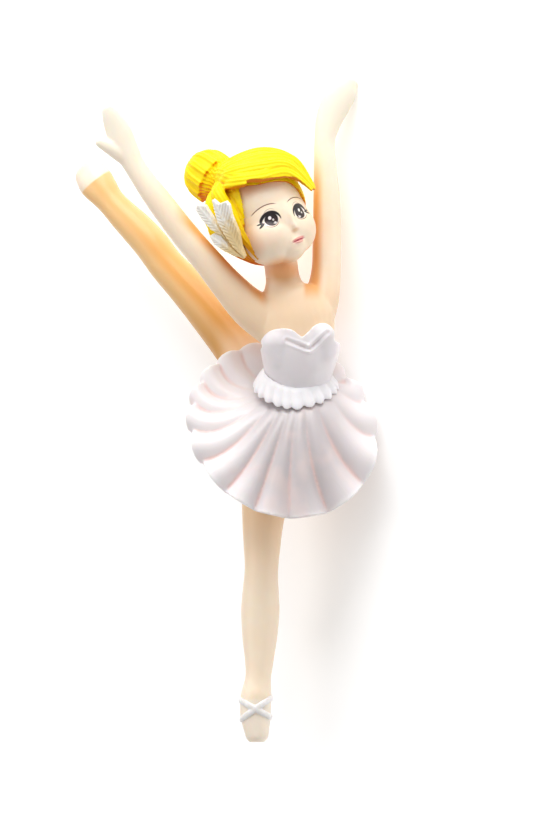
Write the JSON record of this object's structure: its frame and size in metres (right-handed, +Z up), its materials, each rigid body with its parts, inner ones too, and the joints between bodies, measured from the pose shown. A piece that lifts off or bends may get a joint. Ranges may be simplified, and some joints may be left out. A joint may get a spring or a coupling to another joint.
{
  "type": "ballerina figurine",
  "caption": "Small moulded PVC dancer on the tip of one slipper, arms raised and other leg lifted behind, in a pleated tutu; a cake top or shelf ornament that lies down when unfixed.",
  "frame": {"origin": "centre of the lying figurine's bounding box, on the surface it lies on", "axes": "+Y along the figurine from the toe tip towards the raised hands, +Z up from the surface it lies on, +X to the dancer's left as seen from above"},
  "size_m": [0.0642, 0.1202, 0.0343],
  "materials": {
    "upper_body": "flesh-coloured PVC, shaded by airbrush, with a painted face",
    "legs": "flesh-coloured PVC with pale painted slippers and white ribbons",
    "skirt": "satin white PVC with a faint pink blush in the folds",
    "bodice": "satin white PVC",
    "hair": "satin yellow paint, orange in the folds",
    "hair_ornament": "white and pale gold paint"
  },
  "bodies": {
    "root": {"upper_body": "upper_body", "legs": "legs", "skirt": "skirt", "bodice": "bodice", "hair": "hair", "hair_ornament": "hair_ornament"}
  },
  "joints": []
}
